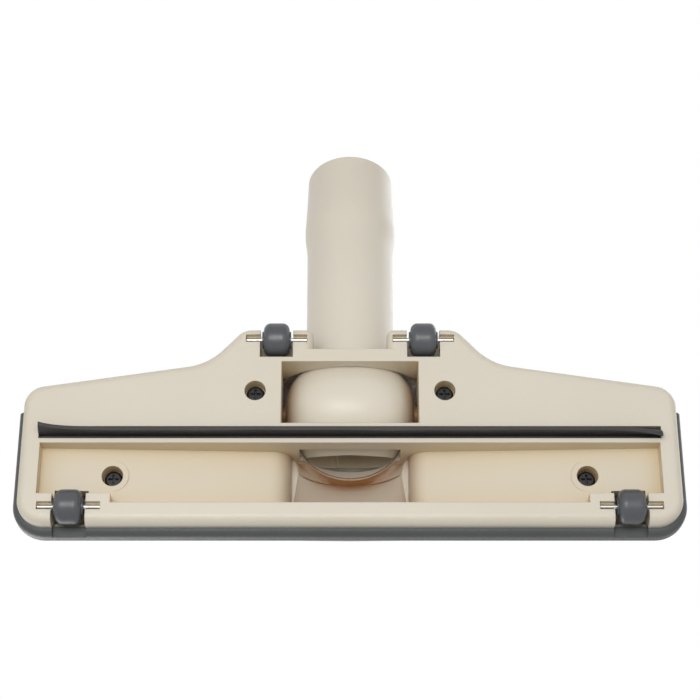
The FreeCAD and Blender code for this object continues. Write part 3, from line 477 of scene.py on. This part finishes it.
def neck_places():
    """Where the rings of the neck lie along it: closest on the drum and at the rim."""
    quarter = math.pi / 2
    places = [-DRUM_RADIUS * math.cos(quarter * row / DRUM_ROWS) for row in range(1, DRUM_ROWS + 1)]
    places += [float(row) for row in range(1, COARSE_START)]
    coarse_rows = int((NECK_END - RIM - COARSE_START) / COARSE_STEP) + 1
    places += [COARSE_START + COARSE_STEP * row for row in range(coarse_rows)]
    places += [NECK_END - RIM + RIM * math.sin(quarter * row / RIM_ROWS) for row in range(RIM_ROWS + 1)]
    return places


def circle(along, across, tall, lift=0.0):
    """A ring square to the tube, round or oval."""
    turns = full_turn(ROUND_STEPS)
    return [neck_point(across * math.cos(turn), along, lift + tall * math.sin(turn)) for turn in turns]


def round_loft(name, start, end, radius):
    return loft(name, circle(start, radius, radius), circle(end, radius, radius))


def neck_outside():
    """The neck as one closed form, before it is bored."""
    turns = full_turn(NECK_TURNS)
    mesh = bmesh.new()
    rings = []
    for place in neck_places():
        radius = tube_radius(place)
        row = []
        for turn in turns:
            reach = neck_reach(turn, place, radius)
            row.append(mesh.verts.new(neck_point(reach * math.cos(turn), place, reach * math.sin(turn))))
        rings.append(row)
    for first, second in zip(rings, rings[1:]):
        wall(mesh, first, second)
    tip = mesh.verts.new(neck_point(0, -DRUM_RADIUS, 0))
    for turn in range(NECK_TURNS):
        mesh.faces.new((tip, rings[0][(turn + 1) % NECK_TURNS], rings[0][turn]))
    mesh.faces.new(rings[-1])
    bmesh.ops.recalc_face_normals(mesh, faces=mesh.faces)
    return as_object(mesh, "neck_tube")


def add_trunnions(neck):
    """Sets a round trunnion into each end of the drum."""
    mesh = bmesh.new()
    mesh.from_mesh(neck.data)
    for hand in (-1, 1):
        ends = []
        for x in (hand * TRUNNION_START, hand * TRUNNION_END):
            end = []
            for turn in full_turn(NECK_TURNS)[::2]:
                along, lift = TRUNNION_RADIUS * math.cos(turn), TRUNNION_RADIUS * math.sin(turn)
                end.append(mesh.verts.new(neck_point(x, along, lift)))
            ends.append(end)
        faces = [mesh.faces.new(end) for end in ends]
        faces += wall(mesh, *ends)
        bmesh.ops.recalc_face_normals(mesh, faces=faces)
    mesh.to_mesh(neck.data)
    mesh.free()


def make_neck():
    neck = neck_outside()
    stop = NECK_END - SOCKET_LENGTH
    elbow_end = circle(ELBOW_END, ELBOW_ACROSS, ELBOW_TALL, ELBOW_LIFT)
    cutters = [
        round_loft("socket", stop, NECK_END + PAST_END, SOCKET_RADIUS),
        round_loft("bore", ELBOW_START - OVERLAP, stop + OVERLAP, BORE_RADIUS),
        loft("elbow", circle(ELBOW_START, BORE_RADIUS, BORE_RADIUS), elbow_end),
    ]
    cut_out(neck, cutters)
    add_trunnions(neck)
    shade_smooth(neck.data, HOUSING_SHARP)
    dress(neck, neck_plastic)
    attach(neck, "neck")
    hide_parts("neck")


make_neck()

# Rubber blade: straight in its slot, its free lip curled at both ends

FIN_HALF, FOOT_TALL, SLOT_MOUTH = 1.0, 2.6, 5.0
BLADE_STATIONS = 260
TIP_TALL, TIP_NARROW = 0.5, 0.25
LIP_HEIGHTS = (2.4, 3.6)
RIGHT_CURL, LEFT_CURL, CURL_REACH, CURL_POWER = 2.4, 2.6, 7, 1.4
LONG_WAVE, LONG_REACH = 0.12, 17
SHORT_WAVE, SHORT_REACH, SHORT_START = 0.08, 6.1, 1.0


def lip_lean(x, low, high):
    """How far the lip's edge leans: curled at both ends and slightly wavy between them."""
    from_left, from_right = x - low.x, high.x - x
    right = RIGHT_CURL * MM * math.exp(-from_right / (CURL_REACH * MM))
    left = LEFT_CURL * MM * math.exp(-from_left / (CURL_REACH * MM))
    long_wave = LONG_WAVE * MM * math.sin(x / (LONG_REACH * MM))
    short_wave = SHORT_WAVE * MM * math.sin(x / (SHORT_REACH * MM) + SHORT_START)
    return (right - left) + (long_wave + short_wave)


def blade_section(x, low, high):
    """The blade's outline at one place: up the front, round the foot and down the back."""
    middle, half_foot = (low.y + high.y) / 2, (high.y - low.y) / 2
    foot_low, slot_mouth = high.z - FOOT_TALL * MM, SLOT_MOUTH * MM
    lean_at_edge = lip_lean(x, low, high)
    lip_heights = [height * MM for height in LIP_HEIGHTS]
    heights = [low.z, low.z + TIP_TALL * MM, *lip_heights, slot_mouth, foot_low]
    front, back = [], []
    for height in heights:
        free = max(0.0, (slot_mouth - height) / (slot_mouth - low.z))
        lean = lean_at_edge * free**CURL_POWER
        narrow = TIP_NARROW * MM if height == low.z else 0.0
        front.append(Vector((x, middle + lean - FIN_HALF * MM + narrow, height)))
        back.append(Vector((x, middle + lean + FIN_HALF * MM - narrow, height)))
    foot = [
        Vector((x, middle - half_foot, foot_low)),
        Vector((x, middle - half_foot, high.z)),
        Vector((x, middle + half_foot, high.z)),
        Vector((x, middle + half_foot, foot_low)),
    ]
    return front + foot + back[::-1]


def make_blade():
    low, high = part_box("squeegee_blade")
    mesh = bmesh.new()
    rings = []
    for step in range(BLADE_STATIONS + 1):
        x = low.x + (high.x - low.x) * step / BLADE_STATIONS
        rings.append([mesh.verts.new(point) for point in blade_section(x, low, high)])
    for first, second in zip(rings, rings[1:]):
        wall(mesh, first, second)
    mesh.faces.new(rings[0][::-1])
    mesh.faces.new(rings[-1])
    bmesh.ops.recalc_face_normals(mesh, faces=mesh.faces)
    blade = as_object(mesh, "blade_lip")
    shade_smooth(blade.data, BLADE_SHARP)
    dress(blade, blade_rubber)
    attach(blade, "nozzle")
    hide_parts("squeegee_blade")


make_blade()

# Floor, world, lamps and camera, in metres

FLOOR_HALF = 3.0
FLOOR_GRAIN = 3.0
LIGHT_COLOUR, LIGHT_STRENGTH = (1.0, 0.99, 0.97, 1), 0.42
LENS, SENSOR = 91.75, 36.0
NEAR, FAR = 0.01, 20.0
CAMERA_PLACE, CAMERA_LOOK = (0, -0.3372, -0.6892), (0, 0.4163, 0.9092)
SOLE, COVER = (0, -0.02, 0.02), (0, 0, 0.03)


def make_floor():
    """A pale floor that the camera sees from above only, and that lets the lamps below it through."""
    data = bpy.data.meshes.new("floor")
    side = FLOOR_HALF
    corners = [(-side, -side, 0), (side, -side, 0), (side, side, 0), (-side, side, 0)]
    data.from_pydata([Vector(c) for c in corners], [], [(0, 1, 2, 3)])
    floor = bpy.data.objects.new("floor", data)
    bpy.context.scene.collection.objects.link(floor)
    graph = Graph("pale floor")
    graph.tree.nodes.remove(graph.shader)
    paint = graph.node("ShaderNodeBsdfDiffuse")
    tone = graph.blend(graph.noise(FLOOR_GRAIN), linear(246, 246, 245), linear(242, 242, 241))
    graph.join(tone, paint.inputs["Color"])
    clear = graph.node("ShaderNodeBsdfTransparent")
    path = graph.node("ShaderNodeLightPath").outputs["Is Camera Ray"]
    behind = graph.node("ShaderNodeNewGeometry").outputs["Backfacing"]
    seen = graph.math("SUBTRACT", path, behind, use_clamp=True)
    mixed = graph.node("ShaderNodeMixShader")
    graph.join(seen, mixed.inputs["Fac"])
    graph.join(clear.outputs["BSDF"], mixed.inputs[1])
    graph.join(paint.outputs["BSDF"], mixed.inputs[2])
    graph.join(mixed.outputs["Shader"], graph.output.inputs["Surface"])
    data.materials.append(graph.material)


def make_world():
    """White for the camera, reflections and see-through rays, and a dimmer light for all else."""
    world = bpy.data.worlds.new("studio")
    bpy.context.scene.world = world
    world.use_nodes = True
    tree = world.node_tree
    tree.nodes.clear()
    output = tree.nodes.new("ShaderNodeOutputWorld")
    seen = tree.nodes.new("ShaderNodeBackground")
    seen.inputs["Color"].default_value = (1, 1, 1, 1)
    seen.inputs["Strength"].default_value = 1.0
    light = tree.nodes.new("ShaderNodeBackground")
    light.inputs["Color"].default_value = LIGHT_COLOUR
    light.inputs["Strength"].default_value = LIGHT_STRENGTH
    path = tree.nodes.new("ShaderNodeLightPath")
    shown = path.outputs["Is Camera Ray"]
    for ray in ("Is Glossy Ray", "Is Transmission Ray"):
        either = tree.nodes.new("ShaderNodeMath")
        either.operation = "MAXIMUM"
        tree.links.new(shown, either.inputs[0])
        tree.links.new(path.outputs[ray], either.inputs[1])
        shown = either.outputs["Value"]
    mixed = tree.nodes.new("ShaderNodeMixShader")
    tree.links.new(shown, mixed.inputs["Fac"])
    tree.links.new(light.outputs["Background"], mixed.inputs[1])
    tree.links.new(seen.outputs["Background"], mixed.inputs[2])
    tree.links.new(mixed.outputs["Shader"], output.inputs["Surface"])


def make_lamp(name, place, target, side, watts):
    """A square soft lamp that points at a target."""
    data = bpy.data.lights.new(name, "AREA")
    data.shape = "RECTANGLE"
    data.size, data.size_y = side, side
    data.energy = watts
    lamp = bpy.data.objects.new(name, data)
    lamp.location = place
    lamp.rotation_mode = "QUATERNION"
    lamp.rotation_quaternion = (Vector(target) - Vector(place)).to_track_quat("-Z", "Y")
    bpy.context.scene.collection.objects.link(lamp)


def make_camera():
    """The photo's view: from below and in front, upright in the picture along the neck."""
    data = bpy.data.cameras.new("camera")
    data.lens = LENS
    data.sensor_width = SENSOR
    data.clip_start, data.clip_end = NEAR, FAR
    camera = bpy.data.objects.new("camera", data)
    look = Vector(CAMERA_LOOK).normalized()
    right = Vector((-1, 0, 0))
    up = right.cross(look)
    turn = Matrix((right, up, -look)).transposed().to_4x4()
    camera.matrix_world = Matrix.Translation(CAMERA_PLACE) @ turn
    bpy.context.scene.collection.objects.link(camera)
    bpy.context.scene.camera = camera


make_floor()
make_world()
make_lamp("front_below", (0.10, -0.10, -0.85), SOLE, side=0.4, watts=3.5)
make_lamp("key_below", (-0.50, -0.05, -0.70), SOLE, side=0.6, watts=0.9)
make_lamp("fill_below", (0.55, -0.05, -0.65), SOLE, side=0.6, watts=1.0)
make_lamp("key_above", (0.55, -0.55, 0.85), COVER, side=0.8, watts=5.0)
make_lamp("fill_above", (-0.65, 0.45, 0.7), COVER, side=0.8, watts=2.6)
make_camera()
bpy.context.scene.view_settings.view_transform = "Standard"
